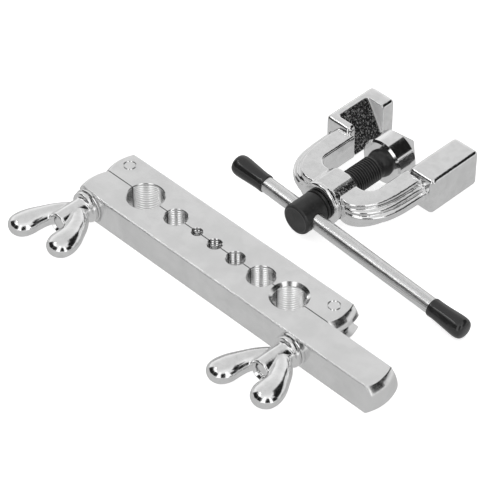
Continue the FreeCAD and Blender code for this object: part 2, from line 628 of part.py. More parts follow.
def make_thrust_ball():
    """Ball between the spigot's end and the bottom of the cone's socket."""
    return Part.makeSphere(THRUST_BALL_RADIUS, screw_point(THRUST_BALL_Y))


def make_retaining_ring():
    """Open spring ring, gap upwards, between the spigot's groove and the socket's groove."""
    ring = Part.makeTorus(RING_CENTRE_RADIUS, RING_WIRE / 2, screw_point(SPIGOT_GROOVE_Y), Y_AXIS)
    gap = block(YOKE_X - RING_GAP_HALF, YOKE_X + RING_GAP_HALF, SPIGOT_GROOVE_Y - RING_WIRE,
                SPIGOT_GROOVE_Y + RING_WIRE, SCREW_Z, SCREW_Z + 2 * RING_CENTRE_RADIUS)
    return ring.cut(gap)


def make_handle_bar():
    """Plain round rod through the screw head."""
    bevel = HANDLE_BEVEL
    radius = HANDLE_RADIUS
    points = [(0, HANDLE_LEFT), (radius - bevel, HANDLE_LEFT), (radius, HANDLE_LEFT + bevel),
              (radius, HANDLE_RIGHT - bevel), (radius - bevel, HANDLE_RIGHT), (0, HANDLE_RIGHT)]
    return revolve(points, screw_point(HANDLE_Y), X_AXIS)


def make_cap(rod_end, direction):
    """Dip-moulded grip: closed bulged end outwards, slightly pinched mouth inwards."""
    length = CAP_LENGTH
    end = CAP_WALL_END
    round_end = CAP_END_ROUND
    outline = [(0, end), (CAP_BULGE_RADIUS - round_end, end)]
    for step in range(1, CAP_ROUND_STEPS + 1):
        angle = math.radians(90 - 90 * step / CAP_ROUND_STEPS)
        outline.append((CAP_BULGE_RADIUS - round_end + round_end * math.cos(angle),
                        end - round_end + round_end * math.sin(angle)))
    outline += [(CAP_BULGE_RADIUS, end - CAP_BULGE_AT * length),
                (CAP_WAIST_RADIUS, end - CAP_WAIST_AT * length),
                (CAP_MOUTH_RADIUS, end - CAP_MOUTH_AT * length), (CAP_MOUTH_RADIUS, end - length),
                (HANDLE_RADIUS, end - length), (HANDLE_RADIUS, -HANDLE_BEVEL),
                (HANDLE_RADIUS - HANDLE_BEVEL, 0), (0, 0)]
    return revolve(outline, screw_point(HANDLE_Y) + X_AXIS * rod_end, X_AXIS * direction)


def at_screw_rest(shape):
    """Turn a piece with the screw to the position it rests in."""
    shape.rotate(screw_point(HANDLE_Y), Y_AXIS, SCREW_REST_DEG)
    return shape


# ---------------------------------------------------------------- write the pieces

def build():
    """Every piece by the name of its node."""
    dies = [die_cutter(*numbers) for numbers in DIES]
    return {
        "rear_bar": make_rear_bar(dies),
        "front_bar": make_front_bar(dies),
        "locating_dowel": make_dowel(),
        "left_pivot_pin": make_pin(LEFT_PIN_X),
        "right_pivot_pin": make_pin(RIGHT_PIN_X),
        "left_swing_bolt": make_swing_bolt(LEFT_PIN_X),
        "right_swing_bolt": make_swing_bolt(RIGHT_PIN_X),
        "left_washer": make_washer(LEFT_PIN_X),
        "right_washer": make_washer(RIGHT_PIN_X),
        "left_wing_nut": make_wing_nut(LEFT_PIN_X),
        "right_wing_nut": make_wing_nut(RIGHT_PIN_X),
        "yoke": make_yoke(),
        "forcing_screw": at_screw_rest(make_forcing_screw()),
        "flaring_cone": make_flaring_cone(),
        "thrust_ball": make_thrust_ball(),
        "cone_retaining_ring": make_retaining_ring(),
        "handle_bar": at_screw_rest(make_handle_bar()),
        "handle_cap_left": at_screw_rest(make_cap(HANDLE_LEFT, -1)),
        "handle_cap_right": at_screw_rest(make_cap(HANDLE_RIGHT, 1)),
    }


def main():
    """Write each piece to its own STEP file."""
    os.makedirs("parts", exist_ok=True)
    for name, shape in build().items():
        shape.exportStep("parts/" + name + ".step")
        print(name, len(shape.Solids), shape.isValid(), round(shape.Volume, 1))


main()
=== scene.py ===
import json
import math

import bmesh
import bpy
from mathutils import Matrix, Vector


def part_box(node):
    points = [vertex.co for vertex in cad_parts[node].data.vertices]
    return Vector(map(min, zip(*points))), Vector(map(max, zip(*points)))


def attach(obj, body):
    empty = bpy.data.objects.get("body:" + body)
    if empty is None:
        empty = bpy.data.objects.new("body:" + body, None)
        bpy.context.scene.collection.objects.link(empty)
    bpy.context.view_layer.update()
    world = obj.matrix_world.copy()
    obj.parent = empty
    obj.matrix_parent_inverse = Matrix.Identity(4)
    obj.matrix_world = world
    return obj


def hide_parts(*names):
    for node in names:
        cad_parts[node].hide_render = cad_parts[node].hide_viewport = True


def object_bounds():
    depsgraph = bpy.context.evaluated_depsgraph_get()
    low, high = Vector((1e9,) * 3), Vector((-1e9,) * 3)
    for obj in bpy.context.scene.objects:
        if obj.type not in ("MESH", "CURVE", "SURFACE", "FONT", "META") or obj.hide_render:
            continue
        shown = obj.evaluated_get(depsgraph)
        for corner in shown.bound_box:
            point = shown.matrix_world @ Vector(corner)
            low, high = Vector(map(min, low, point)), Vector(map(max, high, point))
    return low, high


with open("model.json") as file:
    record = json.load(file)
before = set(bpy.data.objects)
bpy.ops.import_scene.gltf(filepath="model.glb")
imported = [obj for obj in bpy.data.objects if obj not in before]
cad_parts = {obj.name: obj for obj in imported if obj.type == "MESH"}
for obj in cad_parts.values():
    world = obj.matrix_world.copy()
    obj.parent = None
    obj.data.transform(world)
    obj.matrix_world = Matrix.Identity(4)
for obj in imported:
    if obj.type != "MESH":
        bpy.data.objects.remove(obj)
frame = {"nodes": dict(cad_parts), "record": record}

CAD_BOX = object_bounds()
MM = 0.001

# Camera, in the frame of the CAD
CAMERA_AZIMUTH = 45.3      # degrees; 0 looks along +Y
CAMERA_ELEVATION = 42.8
CAMERA_DISTANCE = 1.030
CAMERA_TARGET = (0.00105, 0.01902, 0.0)
LENS_MM = 180.0
SENSOR_MM = 36.0
CAMERA_CLIP = (0.05, 20.0)

# Studio; bearings are degrees to the right of the camera's own, levels are brightness
TENT_AXIS = (-0.17, 0.46, 0.87)       # right of the camera, away from it, up
TENT_LEVEL = 0.72
TENT_SHOULDER = (0.66, 0.94, 0.24)    # cosines from the axis where it starts and ends, its gain
TENT_SKIRT = (0.40, 0.66, 0.18)       # the same for the dimmer skirt, and its loss
DARKEST = 0.012                       # level no direction falls below
# Dark parts of the room: start, end, and the sines of the elevations they lie between
DARK_SECTORS = ((-22.0, 22.0, 0.12, 0.80), (-75.0, -22.0, 0.12, 0.70), (22.0, 76.0, 0.12, 0.70),
                (-125.0, -75.0, 0.06, 0.62), (76.0, 142.0, 0.34, 0.85))
HEIGHT_SOFT = 0.03                    # sine on each side over which their top and bottom fade
SECTOR_SOFT_DEG = 2.5                 # the same for their left and right edges
SOFTBOXES_DEG = ((-43.0, -15.5), (15.5, 43.0))
SOFTBOX_TOP = (0.87, 0.98)            # sines of elevation over which they fade out
SOFTBOX_LEVEL = 1.35
# Narrow lamp on the left: bearings, sines of elevation, level
LAMP_DEG = (-122.0, -76.0)
LAMP_HEIGHT = (0.75, 0.79)
LAMP_LEVEL = 4.5

# Floor: half its width and drop below the tool in metres, colours, and added glow
FLOOR_HALF = 4.0
FLOOR_DROP = 0.0002
FLOOR_TONE = (0.9, 0.9, 0.9)
FLOOR_GLOW = 0.72
FLOOR_MIRRORED = (0.56, 0.56, 0.56)

# Wing nuts: sizes in millimetres, from the bolt axis and from the washer's face
NUT_FLANGE_RADIUS = 7.0
NUT_HUB_RADIUS = 5.2
NUT_LENGTH = 16.6
NUT_BORE_RADIUS = 3.1
NUT_HUB_BEVEL = 0.6
NUT_BORE_SINK = 0.9        # depth of the countersink at the bore's open end
NUT_BORE_REACH = 1.0       # how far the bore's tool stands out at both ends
NUT_SEAT_GAP = 0.05        # between the nut and its washer
NUT_FLANGE_RIM = ((0.2, 0.0), (0.0, 0.25), (0.0, 1.7), (0.4, 2.15))    # inset, ahead
NUT_HUB_FOOT = ((0.6, 2.3), (0.1, 2.8), (0.0, 3.4))                    # outset, ahead
NUT_SHARP_DEG = 40.0       # edges sharper than this stay crisp
NUT_REST_DEG = 9.5         # how far the wings are turned out of level at rest
BORE_SEGMENTS = 64
NUT_VOXEL = 0.26
NUT_SMOOTH_STEPS = 12
WING_SEGMENTS = 96
WING_STEPS = 6             # rings between two neighbouring sections
# out, ahead, half width, half thickness, lean of the section in degrees
WING_SECTIONS = (
    (2.2, 6.4, 3.6, 4.1, 66.0),
    (4.8, 9.0, 4.2, 4.1, 50.0),
    (7.3, 12.0, 4.6, 4.1, 36.0),
    (9.4, 15.7, 5.1, 4.2, 22.0),
    (11.1, 19.9, 6.1, 4.5, 14.0),
    (12.0, 23.8, 6.8, 4.6, 6.0),
    (12.3, 27.0, 6.3, 4.4, 0.0),
    (12.3, 29.4, 4.7, 3.4, 0.0),
    (12.3, 30.8, 2.5, 1.9, 0.0),
)

# Both castings: share of the way a smoothing step moves each point
SMOOTH_FACTOR = 0.5

# Cast yoke: voxel in millimetres, the places below in metres
YOKE_VOXEL = 0.28
YOKE_SMOOTH_STEPS = 6
CHANNEL_ACROSS = (0.0172, 0.0277)     # from the yoke's middle plane
CHANNEL_BEHIND = (0.0072, 0.0252)     # from the rear of the hooks
HUB_PATCH_ALONG = (0.003, 0.0150)     # from the front of the hub
HUB_PATCH_ACROSS = (0.0, 0.011)       # to the right of the yoke's middle plane
# Which way its surfaces face, as shares of the surface normal
CHANNEL_FLOOR_SIDEWAYS = (0.45, 0.70)
CHANNEL_FLOOR_UPRIGHT = (0.25, 0.40)
CHANNEL_WALL_UPRIGHT = 0.25
HUB_PATCH_SIDEWAYS = (0.35, 0.60)

# Die bar: how far from the split plane its inner faces may lie to take the painted shade of the split,
# metres, how squarely they face it, and how dark that painted shade is
SPLIT_SHADE_REACH = 0.0003
SPLIT_SQUARE = 0.9
SPLIT_SHADE_TONE = 0.22
# Front bar: where its worn front edges begin and how far the wear rounds them, metres
WORN_EDGE_FROM = 0.0122
WORN_EDGE_RADIUS = 0.0013

# Forcing screw, metres: radii of the thread's rubbed crests, thread end from the head's front
CREST_RADIUS = (0.00566, 0.00590)
THREAD_END = 0.0460

# Finishes: (darkest, palest) grey, (smoothest, roughest) roughness
MILLED_TONE = (0.80, 0.87)
MILLED_ROUGH = (0.13, 0.22)
CAST_TONE = (0.80, 0.88)
CAST_ROUGH = (0.10, 0.18)
TURNED_TONE = (0.82, 0.89)
TURNED_ROUGH = (0.05, 0.10)
ROD_TONE = (0.70, 0.80)
ROD_ROUGH = (0.22, 0.34)
OXIDE_TONE = (0.034, 0.052)
OXIDE_ROUGH = (0.30, 0.46)
STEEL_TONE = (0.62, 0.72)
STEEL_ROUGH = (0.16, 0.24)
VINYL_TONE = 0.024
VINYL_ROUGH = (0.04, 0.09)

# Values of a noise texture over which each detail comes in
NOISE_SPAN = (0.3, 0.7)
WAVE_SPAN = (0.25, 0.75)
HAZE_SPAN = (0.35, 0.70)
PIT_SPAN = (0.66, 0.74)
SCUFF_SPAN = (0.58, 0.72)
RUB_SPAN = (0.60, 0.80)
DUST_SPAN = (0.62, 0.78)

# What each detail adds to, or takes from, the grey tone or the roughness
HAZE_PALE = 0.03
LINE_ROUGH = 0.05
PIT_DARK = 0.05
RING_ROUGH = 0.06
SCUFF_DARK = 0.10
SCUFF_ROUGH = 0.08
RUB_PALE = 0.06
CREST_PALE = 0.06
DUST_PALE = 0.012

# The yoke's unpolished places: speckles on the channels' floors and the hub, as noise span and
# tones; how rough and how bumpy both are, and how rough and how little metallic the walls are
CHANNEL_SPECKLE = ((0.50, 0.68), (0.02, 0.80))
HUB_SPECKLE = ((0.50, 0.64), (0.02, 0.85))
RUGGED_ROUGH = 0.36
RUGGED_BUMP = 0.75
WALL_ROUGH = 0.45
WALL_METAL_LOSS = 0.85

# Stretch of a noise texture into fine lines along X, or into rings round Y
MILLED_LINES = (60.0, 1400.0, 1400.0)
DRAWN_LINES = (35.0, 2600.0, 2600.0)
TURNED_RINGS = (20.0, 5200.0, 20.0)

# End caps, millimetres: radius and distance from the rod's end outwards
CAP_OUTLINE = (
    (3.57, -16.55), (3.80, -16.70), (4.00, -16.40), (4.06, -15.60), (3.98, -14.50), (4.00, -13.00),
    (4.12, -10.60), (4.36, -7.40), (4.62, -4.20), (4.72, -2.20), (4.60, -0.70), (4.15, 0.60),
    (3.20, 1.28), (1.80, 1.58), (0.0, 1.6),
)
CAP_SEGMENTS = 72
CAP_SUBDIVISIONS = 2


# ---------------------------------------------------------------- node helpers

class Nodes:
    """Short way to write a node tree."""

    def __init__(self, tree):
        self.tree = tree
        self.tree.nodes.clear()

    def add(self, kind, **settings):
        node = self.tree.nodes.new(kind)
        for name, value in settings.items():
            setattr(node, name, value)
        return node

    def link(self, source, target):
        self.tree.links.new(source, target)

    def feed(self, socket, value):
        """Link a socket to an input, or give the input a plain value."""
        if isinstance(value, bpy.types.NodeSocket):
            self.link(value, socket)
        else:
            socket.default_value = value

    def math(self, operation, a, b=0.0, c=0.0):
        node = self.add("ShaderNodeMath", operation=operation)
        for socket, value in zip(node.inputs, (a, b, c)):
            self.feed(socket, value)
        return node.outputs[0]

    def plus(self, a, b):
        return self.math("ADD", a, b)

    def times(self, a, b):
        return self.math("MULTIPLY", a, b)

    def between(self, value, low, high):
        """1 where the value lies between two limits."""
        above = self.math("GREATER_THAN", value, low)
        return self.times(above, self.math("LESS_THAN", value, high))

    def split(self, vector):
        """The X, Y and Z parts of a vector."""
        node = self.add("ShaderNodeSeparateXYZ")
        self.link(vector, node.inputs[0])
        return tuple(node.outputs)

    def dot(self, vector, direction):
        node = self.add("ShaderNodeVectorMath", operation="DOT_PRODUCT")
        self.link(vector, node.inputs[0])
        node.inputs[1].default_value = direction
        return node.outputs["Value"]

    def ramp(self, value, low, high, out_low=0.0, out_high=1.0):
        """Smooth step from out_low at low to out_high at high."""
        node = self.add("ShaderNodeMapRange", interpolation_type="SMOOTHSTEP")
        for socket, number in zip(node.inputs, (value, low, high, out_low, out_high)):
            self.feed(socket, number)
        return node.outputs[0]

    def noise(self, vector, scale, detail=2.0, rough=0.5):
        node = self.add("ShaderNodeTexNoise")
        self.link(vector, node.inputs["Vector"])
        node.inputs["Scale"].default_value = scale
        node.inputs["Detail"].default_value = detail
        node.inputs["Roughness"].default_value = rough
        return node.outputs["Fac"]

    def stretch(self, vector, scale):
        node = self.add("ShaderNodeVectorMath", operation="MULTIPLY")
        self.link(vector, node.inputs[0])
        node.inputs[1].default_value = scale
        return node.outputs["Vector"]

    def bump(self, height, strength, distance, normal=None):
        """Surface normal, after another one if given, bent by a height; distance in metres."""
        node = self.add("ShaderNodeBump")
        self.feed(node.inputs["Strength"], strength)
        node.inputs["Distance"].default_value = distance
        self.link(height, node.inputs["Height"])
        if normal is not None:
            self.link(normal, node.inputs["Normal"])
        return node.outputs["Normal"]

    def grey(self, value):
        node = self.add("ShaderNodeCombineColor")
        for socket in node.inputs:
            self.feed(socket, value)
        return node.outputs[0]

    def mix(self, factor, a, b):
        """a where factor is 0, b where it is 1; the node's inputs 2 and 3 are its plain numbers."""
        node = self.add("ShaderNodeMix", data_type="FLOAT")
        for index, value in ((0, factor), (2, a), (3, b)):
            self.feed(node.inputs[index], value)
        return node.outputs[0]


def start_material(name, metallic=0.0):
    """A new material with an empty shader, and the place in metres that its textures use."""
    material = bpy.data.materials.new(name)
    material.use_nodes = True
    nodes = Nodes(material.node_tree)
    output = nodes.add("ShaderNodeOutputMaterial")
    shader = nodes.add("ShaderNodeBsdfPrincipled")
    shader.inputs["Metallic"].default_value = metallic
    nodes.link(shader.outputs[0], output.inputs["Surface"])
    place = nodes.add("ShaderNodeTexCoord").outputs["Object"]
    return material, nodes, shader, place


def finish_material(nodes, shader, tone, rough, normal=None):
    """Plug a grey tone, a roughness and a normal into the shader."""
    nodes.link(nodes.grey(tone), shader.inputs["Base Color"])
    nodes.link(rough, shader.inputs["Roughness"])
    if normal is not None:
        nodes.link(normal, shader.inputs["Normal"])


# ---------------------------------------------------------------- materials

def plated_milled():
    """Nickel-chrome over a milled bar: faint mottling, fine lengthwise polishing lines, and painted
    shade in the split between the bars.
    """
    material, nodes, shader, place = start_material("plated_milled", metallic=1.0)
    x, y = nodes.split(place)[:2]
    mottle = nodes.noise(place, scale=90.0, detail=3.0, rough=0.6)
    lines = nodes.noise(nodes.stretch(place, MILLED_LINES), scale=1.0, detail=2.0, rough=0.6)
    haze = nodes.noise(place, scale=600.0, detail=4.0, rough=0.65)
    tone = nodes.plus(nodes.ramp(mottle, *NOISE_SPAN, *MILLED_TONE), nodes.times(haze, HAZE_PALE))
    # painted shade: the faces in the split between the two bars are darkened
    tone = nodes.mix(split_shade_mask(nodes, x, y), tone, SPLIT_SHADE_TONE)
    rough = nodes.plus(nodes.ramp(haze, *HAZE_SPAN, *MILLED_ROUGH), nodes.times(lines, LINE_ROUGH))
    normal = nodes.bump(lines, strength=0.06, distance=0.00005)
    normal = nodes.bump(mottle, strength=0.10, distance=0.0002, normal=normal)
    finish_material(nodes, shader, tone, rough, worn_edges(nodes, y, normal))
    return material


def split_shade_mask(nodes, x, y):
    """1 on the two inner faces of the die bar, as far as they lie closed on each other, where shade is
    painted into the split.
    """
    near = nodes.math("LESS_THAN", nodes.math("ABSOLUTE", y), SPLIT_SHADE_REACH)
    facing = nodes.dot(nodes.add("ShaderNodeNewGeometry").outputs["True Normal"], (0.0, 1.0, 0.0))
    square = nodes.math("GREATER_THAN", nodes.math("ABSOLUTE", facing), SPLIT_SQUARE)
    closed_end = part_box("rear_bar")[1][0]
    closed = nodes.math("LESS_THAN", x, closed_end)
    return nodes.times(nodes.times(near, square), closed)


def worn_edges(nodes, y, normal):
    """The normal, rounded over the edges at the front of the front bar."""
    worn = nodes.add("ShaderNodeBevel")
    front = nodes.math("LESS_THAN", y, -WORN_EDGE_FROM)
    nodes.link(nodes.times(front, WORN_EDGE_RADIUS), worn.inputs["Radius"])
    nodes.link(normal, worn.inputs["Normal"])
    return worn.outputs[0]


def casting_skin(nodes, place):
    """Waviness, tone and roughness of bright plating over a casting with small pits."""
    wave = nodes.noise(place, scale=260.0, detail=3.0, rough=0.55)
    grain = nodes.noise(place, scale=900.0, detail=3.0, rough=0.6)
    pits = nodes.ramp(nodes.noise(place, scale=480.0, detail=2.0, rough=0.5), *PIT_SPAN)
    tone = nodes.ramp(wave, *WAVE_SPAN, *CAST_TONE)
    tone = nodes.math("SUBTRACT", tone, nodes.times(pits, PIT_DARK))
    rough = nodes.ramp(grain, *NOISE_SPAN, *CAST_ROUGH)
    return wave, tone, rough


def plated_nut():
    """Bright plating over the wing nuts' castings."""
    material, nodes, shader, place = start_material("plated_cast", metallic=1.0)
    wave, tone, rough = casting_skin(nodes, place)
    finish_material(nodes, shader, tone, rough, nodes.bump(wave, strength=0.20, distance=0.0003))
    return material


def plated_yoke():
    """The same plating, wavier, over a speckled raw casting where no polishing wheel reaches."""
    material, nodes, shader, place = start_material("plated_yoke", metallic=1.0)
    wave, tone, rough = casting_skin(nodes, place)
    floors, walls, hub_patch = yoke_masks(nodes, place)
    speckle = nodes.noise(place, scale=1300.0, detail=5.0, rough=0.75)
    for mask, (span, tones) in ((floors, CHANNEL_SPECKLE), (hub_patch, HUB_SPECKLE)):
        tone = nodes.mix(mask, tone, nodes.ramp(speckle, *span, *tones))
    tone = nodes.mix(walls, tone, 1.0)
    rugged = nodes.math("MAXIMUM", floors, hub_patch)
    rough = nodes.mix(rugged, rough, RUGGED_ROUGH)
    rough = nodes.mix(walls, rough, WALL_ROUGH)
    metallic = nodes.math("SUBTRACT", 1.0, nodes.times(walls, WALL_METAL_LOSS))
    nodes.link(metallic, shader.inputs["Metallic"])
    normal = nodes.bump(wave, strength=0.42, distance=0.0004)
    normal = nodes.bump(speckle, strength=nodes.times(rugged, RUGGED_BUMP), distance=0.0006,
                        normal=normal)
    finish_material(nodes, shader, tone, rough, normal)
    return material


def yoke_masks(nodes, place):
    """Masks of the channels' slanted floors, of their walls and of the hub's right side."""
    low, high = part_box("yoke")
    x, y = nodes.split(place)[:2]
    across = nodes.math("SUBTRACT", x, (low[0] + high[0]) / 2)
    normal = nodes.add("ShaderNodeNewGeometry").outputs["Normal"]
    sideways = nodes.dot(normal, (1.0, 0.0, 0.0))
    upright = nodes.math("ABSOLUTE", nodes.dot(normal, (0.0, 0.0, 1.0)))
    slanted = nodes.times(nodes.ramp(nodes.math("ABSOLUTE", sideways), *CHANNEL_FLOOR_SIDEWAYS),
                          nodes.ramp(upright, *CHANNEL_FLOOR_UPRIGHT))
    rear, front = [high[1] - behind for behind in CHANNEL_BEHIND]
    channel = nodes.times(nodes.between(nodes.math("ABSOLUTE", across), *CHANNEL_ACROSS),
                          nodes.between(y, front, rear))
    floors = nodes.times(channel, slanted)
    walls = nodes.times(nodes.math("SUBTRACT", channel, floors),
                        nodes.math("LESS_THAN", upright, CHANNEL_WALL_UPRIGHT))
    front, rear = [low[1] + along for along in HUB_PATCH_ALONG]
    hub_patch = nodes.times(nodes.ramp(sideways, *HUB_PATCH_SIDEWAYS), nodes.between(y, front, rear))
    hub_patch = nodes.times(hub_patch, nodes.between(across, *HUB_PATCH_ACROSS))
    return floors, walls, hub_patch


def plated_turned():
    """Polished turned parts, with the lathe's fine rings left round the Y axis."""
    material, nodes, shader, place = start_material("plated_turned", metallic=1.0)
    rings = nodes.noise(nodes.stretch(place, TURNED_RINGS), scale=1.0, detail=2.0, rough=0.5)
    cloud = nodes.noise(place, scale=220.0, detail=3.0, rough=0.55)
    tone = nodes.ramp(cloud, *NOISE_SPAN, *TURNED_TONE)
    rough = nodes.plus(nodes.ramp(cloud, *NOISE_SPAN, *TURNED_ROUGH), nodes.times(rings, RING_ROUGH))
    finish_material(nodes, shader, tone, rough, nodes.bump(rings, strength=0.12, distance=0.00004))
    return material


def satin_rod():
    """Drawn rod: dull plating with lengthwise drawing lines and a few dark scuffs."""
    material, nodes, shader, place = start_material("satin_rod", metallic=1.0)
    lines = nodes.noise(nodes.stretch(place, DRAWN_LINES), scale=1.0, detail=3.0, rough=0.6)
    scuff = nodes.ramp(nodes.noise(place, scale=260.0, detail=4.0, rough=0.7), *SCUFF_SPAN)
    tone = nodes.ramp(lines, *NOISE_SPAN, *ROD_TONE)
    tone = nodes.math("SUBTRACT", tone, nodes.times(scuff, SCUFF_DARK))
    rough = nodes.plus(nodes.ramp(lines, *NOISE_SPAN, *ROD_ROUGH), nodes.times(scuff, SCUFF_ROUGH))
    finish_material(nodes, shader, tone, rough, nodes.bump(lines, strength=0.25, distance=0.00006))
    return material


def black_oxide():
    """Blackened steel: matt, slightly uneven, rubbed paler on the thread's crests."""
    material, nodes, shader, place = start_material("black_oxide", metallic=0.55)
    cloud = nodes.noise(place, scale=240.0, detail=4.0, rough=0.6)
    grain = nodes.noise(place, scale=1800.0, detail=3.0, rough=0.6)
    rub = nodes.ramp(nodes.noise(place, scale=620.0, detail=5.0, rough=0.7), *RUB_SPAN)
    tone = nodes.plus(nodes.ramp(cloud, *NOISE_SPAN, *OXIDE_TONE), nodes.times(rub, RUB_PALE))
    tone = nodes.plus(tone, nodes.times(crest_mask(nodes, place), CREST_PALE))
    rough = nodes.ramp(grain, *NOISE_SPAN, *OXIDE_ROUGH)
    finish_material(nodes, shader, tone, rough, nodes.bump(grain, strength=0.18, distance=0.00008))
    return material


def crest_mask(nodes, place):
    """1 on the crests of the forcing screw's thread."""
    low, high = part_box("forcing_screw")
    x, y, z = nodes.split(place)
    sideways = nodes.math("SUBTRACT", x, (low[0] + high[0]) / 2)
    upwards = nodes.math("SUBTRACT", z, (low[2] + high[2]) / 2)
    square = nodes.plus(nodes.times(sideways, sideways), nodes.times(upwards, upwards))
    radius = nodes.math("SQRT", square)
    threaded = nodes.math("LESS_THAN", y, low[1] + THREAD_END)
    return nodes.times(nodes.between(radius, *CREST_RADIUS), threaded)


def bright_steel():
    """Ground hardened steel of the hidden ball, ring and dowel."""
    material, nodes, shader, place = start_material("bright_steel", metallic=1.0)
    cloud = nodes.noise(place, scale=700.0, detail=3.0, rough=0.6)
    tone = nodes.ramp(cloud, *NOISE_SPAN, *STEEL_TONE)
    finish_material(nodes, shader, tone, nodes.ramp(cloud, *NOISE_SPAN, *STEEL_ROUGH))
    return material


def black_vinyl():
    """Dip-moulded vinyl: deep gloss over a slightly uneven skin, with a little dust."""
    material, nodes, shader, place = start_material("black_vinyl")
    sag = nodes.noise(place, scale=150.0, detail=2.0, rough=0.5)
    dust = nodes.ramp(nodes.noise(place, scale=2400.0, detail=3.0, rough=0.6), *DUST_SPAN)
    tone = nodes.plus(nodes.times(dust, DUST_PALE), VINYL_TONE)
    shader.inputs["Specular IOR Level"].default_value = 0.55
    rough = nodes.ramp(sag, *NOISE_SPAN, *VINYL_ROUGH)
    finish_material(nodes, shader, tone, rough, nodes.bump(sag, strength=0.22, distance=0.0004))
    return material


def paint(obj, material):
    obj.data.materials.clear()
    obj.data.materials.append(material)


# ---------------------------------------------------------------- meshes

def shade_smooth(mesh):
    for polygon in mesh.polygons:
        polygon.use_smooth = True


def mesh_object(name, bm):
    """A new smooth-shaded object from a bmesh, which it frees."""
    mesh = bpy.data.meshes.new(name)
    bm.to_mesh(mesh)
    bm.free()
    shade_smooth(mesh)
    obj = bpy.data.objects.new(name, mesh)
    bpy.context.scene.collection.objects.link(obj)
    return obj


def lathe(bm, outline, segments):
    """Skin of revolution about +Y through (radius, distance) points in millimetres.

    A first or last point of radius 0 closes that end with a fan.
    """
    rings = []
    for radius, ahead in outline:
        if radius == 0.0:
            rings.append([bm.verts.new((0.0, ahead * MM, 0.0))])
            continue
        ring = []
        for step in range(segments):
            angle = 2 * math.pi * step / segments
            across = radius * MM
            ring.append(bm.verts.new((across * math.cos(angle), ahead * MM, across * math.sin(angle))))
        rings.append(ring)
    for first, second in zip(rings, rings[1:]):
        for step in range(segments):
            after = (step + 1) % segments
            corners = [first[step % len(first)], first[after % len(first)],
                       second[after % len(second)], second[step % len(second)]]
            unique = list(dict.fromkeys(corners))
            bm.faces.new(unique)


def tube_through(bm, sections, segments):
    """Closed skin through rings of points."""
    rings = []
    for points in sections:
        rings.append([bm.verts.new(point) for point in points])
    for first, second in zip(rings, rings[1:]):
        for step in range(segments):
            after = (step + 1) % segments
            bm.faces.new((first[step], first[after], second[after], second[step]))
    bm.faces.new(rings[0])
    bm.faces.new(rings[-1])


def smooth_rows(rows, steps):
    """Rows of numbers with smoothly interpolated rows put between them (Catmull-Rom)."""
    padded = (rows[0],) + tuple(rows) + (rows[-1],)
    result = []
    for before, start, end, after in zip(padded, padded[1:], padded[2:], padded[3:]):
        for step in range(steps):
            t = step / steps
            row = []
            for p0, p1, p2, p3 in zip(before, start, end, after):
                bend = 2 * p0 - 5 * p1 + 4 * p2 - p3
                twist = 3 * p1 - p0 - 3 * p2 + p3
                row.append(0.5 * (2 * p1 + (p2 - p0) * t + bend * t ** 2 + twist * t ** 3))
            result.append(row)
    result.append(rows[-1])
    return result


def wing_rings(side, segments):
    """Elliptical sections along one wing, as millimetre points about the bolt axis (+Y ahead)."""
    rings = []
    for out, ahead, half_width, half_thickness, lean_deg in smooth_rows(WING_SECTIONS, WING_STEPS):
        lean = math.radians(lean_deg)
        across = Vector((side * math.cos(lean), -math.sin(lean), 0.0))
        centre = Vector((side * out, ahead, 0.0))
        ring = []
        for step in range(segments):
            angle = 2 * math.pi * step / segments
            point = centre + across * half_width * math.cos(angle)
            point.z += half_thickness * math.sin(angle)
            ring.append(point * MM)
        rings.append(ring)
    return rings


def apply_modifiers(obj):
    """Replace the object's mesh with its evaluated one."""
    depsgraph = bpy.context.evaluated_depsgraph_get()
    mesh = bpy.data.meshes.new_from_object(obj.evaluated_get(depsgraph))
    obj.modifiers.clear()
    obj.data = mesh


def soften_casting(obj, voxel, smooth_steps):
    """Melt a casting's solids into one, and round off its edges as sand casting leaves them."""
    remesh = obj.modifiers.new("cast", "REMESH")
    remesh.mode = "VOXEL"
    remesh.voxel_size = voxel * MM
    remesh.use_smooth_shade = True
    smooth = obj.modifiers.new("soften", "SMOOTH")
    smooth.factor = SMOOTH_FACTOR
    smooth.iterations = smooth_steps


def wing_nut_body(name):
    """Outer skin of a wing nut: flange, hub and wings melted together as one casting."""
    bm = bmesh.new()
    flange = NUT_FLANGE_RADIUS
    hub = NUT_HUB_RADIUS
    outline = [(0.0, 0.0)]
    outline += [(flange - inset, ahead) for inset, ahead in NUT_FLANGE_RIM]
    outline += [(hub + outset, ahead) for outset, ahead in NUT_HUB_FOOT]
    outline += [(hub, NUT_LENGTH - NUT_HUB_BEVEL), (hub - NUT_HUB_BEVEL, NUT_LENGTH), (0.0, NUT_LENGTH)]
    lathe(bm, outline, WING_SEGMENTS)
    for side in (-1, 1):
        tube_through(bm, wing_rings(side, WING_SEGMENTS), WING_SEGMENTS)
    bmesh.ops.recalc_face_normals(bm, faces=bm.faces)
    obj = mesh_object(name, bm)
    soften_casting(obj, NUT_VOXEL, NUT_SMOOTH_STEPS)
    apply_modifiers(obj)
    return obj


def bore_tool():
    """What the bolt's hole takes out of a wing nut, with a countersunk open end."""
    bm = bmesh.new()
    bore = NUT_BORE_RADIUS
    reach = NUT_BORE_REACH
    mouth = bore + NUT_BORE_SINK + reach
    outline = ((0.0, -reach), (bore, -reach), (bore, NUT_LENGTH - NUT_BORE_SINK),
               (mouth, NUT_LENGTH + reach), (0.0, NUT_LENGTH + reach))
    lathe(bm, outline, BORE_SEGMENTS)
    bmesh.ops.recalc_face_normals(bm, faces=bm.faces)
    return mesh_object("bore_tool", bm)


